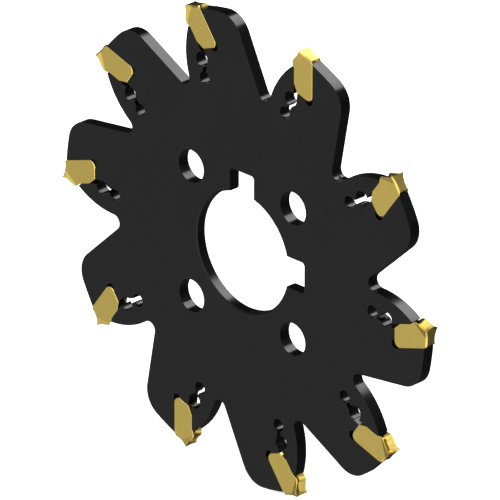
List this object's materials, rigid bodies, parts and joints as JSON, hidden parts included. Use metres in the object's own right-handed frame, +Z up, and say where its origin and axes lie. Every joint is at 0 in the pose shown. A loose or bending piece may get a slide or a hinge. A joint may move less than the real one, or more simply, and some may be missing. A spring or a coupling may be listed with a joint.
{
  "type": "indexable slotting disc cutter",
  "caption": "Thin keyed milling disc whose teeth each grip a gold-coated grooving insert between a fixed seat and a springy clamp finger.",
  "frame": {"origin": "centre of the bore on the disc's mid-plane", "axes": "+Y along the bore, from the front face to the back face; +Z up through one keyway; +X right through the other keyway; the cutter turns anticlockwise seen from the front, looking along +Y"},
  "size_m": [0.16, 0.005, 0.1568],
  "materials": {
    "disc": "black-oxide finish on ground and hardened alloy steel",
    "finger": "black-oxide finish on the same steel as the disc",
    "insert": "gold titanium-nitride coating on cemented carbide"
  },
  "bodies": {
    "disc": {"cutter_disc": "disc"},
    "finger_01": {"clamp_finger_01": "finger"},
    "insert_01": {"insert_01": "insert"},
    "finger_02": {"clamp_finger_02": "finger"},
    "insert_02": {"insert_02": "insert"},
    "finger_03": {"clamp_finger_03": "finger"},
    "insert_03": {"insert_03": "insert"},
    "finger_04": {"clamp_finger_04": "finger"},
    "insert_04": {"insert_04": "insert"},
    "finger_05": {"clamp_finger_05": "finger"},
    "insert_05": {"insert_05": "insert"},
    "finger_06": {"clamp_finger_06": "finger"},
    "insert_06": {"insert_06": "insert"},
    "finger_07": {"clamp_finger_07": "finger"},
    "insert_07": {"insert_07": "insert"},
    "finger_08": {"clamp_finger_08": "finger"},
    "insert_08": {"insert_08": "insert"},
    "finger_09": {"clamp_finger_09": "finger"},
    "insert_09": {"insert_09": "insert"},
    "finger_10": {"clamp_finger_10": "finger"},
    "insert_10": {"insert_10": "insert"}
  },
  "joints": [
    {"name": "finger_01_flex", "type": "hinge", "parent": "disc", "child": "finger_01", "pos_m": [0.01226, 0, 0.05616], "axis": [0, -1, 0], "range_deg": [0, 1.2], "stiffness_Nm_per_rad": 2, "springref_deg": -1.15},
    {"name": "insert_01_slide", "type": "slide", "parent": "disc", "child": "insert_01", "axis": [0, 0, 1], "range_m": [0, 0.022]},
    {"name": "finger_02_flex", "type": "hinge", "parent": "disc", "child": "finger_02", "pos_m": [0.04292, 0, 0.03823], "axis": [0, -1, 0], "range_deg": [0, 1.2], "stiffness_Nm_per_rad": 2, "springref_deg": -1.15},
    {"name": "insert_02_slide", "type": "slide", "parent": "disc", "child": "insert_02", "axis": [0.5878, 0, 0.809], "range_m": [0, 0.022]},
    {"name": "finger_03_flex", "type": "hinge", "parent": "disc", "child": "finger_03", "pos_m": [0.0572, 0, 0.0057], "axis": [0, -1, 0], "range_deg": [0, 1.2], "stiffness_Nm_per_rad": 2, "springref_deg": -1.15},
    {"name": "insert_03_slide", "type": "slide", "parent": "disc", "child": "insert_03", "axis": [0.9511, 0, 0.309], "range_m": [0, 0.022]},
    {"name": "finger_04_flex", "type": "hinge", "parent": "disc", "child": "finger_04", "pos_m": [0.04963, 0, -0.02901], "axis": [0, -1, 0], "range_deg": [0, 1.2], "stiffness_Nm_per_rad": 2, "springref_deg": -1.15},
    {"name": "insert_04_slide", "type": "slide", "parent": "disc", "child": "insert_04", "axis": [0.9511, 0, -0.309], "range_m": [0, 0.022]},
    {"name": "finger_05_flex", "type": "hinge", "parent": "disc", "child": "finger_05", "pos_m": [0.0231, 0, -0.05264], "axis": [0, -1, 0], "range_deg": [0, 1.2], "stiffness_Nm_per_rad": 2, "springref_deg": -1.15},
    {"name": "insert_05_slide", "type": "slide", "parent": "disc", "child": "insert_05", "axis": [0.5878, 0, -0.809], "range_m": [0, 0.022]},
    {"name": "finger_06_flex", "type": "hinge", "parent": "disc", "child": "finger_06", "pos_m": [-0.01226, 0, -0.05616], "axis": [0, -1, 0], "range_deg": [0, 1.2], "stiffness_Nm_per_rad": 2, "springref_deg": -1.15},
    {"name": "insert_06_slide", "type": "slide", "parent": "disc", "child": "insert_06", "axis": [0, 0, -1], "range_m": [0, 0.022]},
    {"name": "finger_07_flex", "type": "hinge", "parent": "disc", "child": "finger_07", "pos_m": [-0.04292, 0, -0.03823], "axis": [0, -1, 0], "range_deg": [0, 1.2], "stiffness_Nm_per_rad": 2, "springref_deg": -1.15},
    {"name": "insert_07_slide", "type": "slide", "parent": "disc", "child": "insert_07", "axis": [-0.5878, 0, -0.809], "range_m": [0, 0.022]},
    {"name": "finger_08_flex", "type": "hinge", "parent": "disc", "child": "finger_08", "pos_m": [-0.0572, 0, -0.0057], "axis": [0, -1, 0], "range_deg": [0, 1.2], "stiffness_Nm_per_rad": 2, "springref_deg": -1.15},
    {"name": "insert_08_slide", "type": "slide", "parent": "disc", "child": "insert_08", "axis": [-0.9511, 0, -0.309], "range_m": [0, 0.022]},
    {"name": "finger_09_flex", "type": "hinge", "parent": "disc", "child": "finger_09", "pos_m": [-0.04963, 0, 0.02901], "axis": [0, -1, 0], "range_deg": [0, 1.2], "stiffness_Nm_per_rad": 2, "springref_deg": -1.15},
    {"name": "insert_09_slide", "type": "slide", "parent": "disc", "child": "insert_09", "axis": [-0.9511, 0, 0.309], "range_m": [0, 0.022]},
    {"name": "finger_10_flex", "type": "hinge", "parent": "disc", "child": "finger_10", "pos_m": [-0.0231, 0, 0.05264], "axis": [0, -1, 0], "range_deg": [0, 1.2], "stiffness_Nm_per_rad": 2, "springref_deg": -1.15},
    {"name": "insert_10_slide", "type": "slide", "parent": "disc", "child": "insert_10", "axis": [-0.5878, 0, 0.809], "range_m": [0, 0.022]}
  ]
}
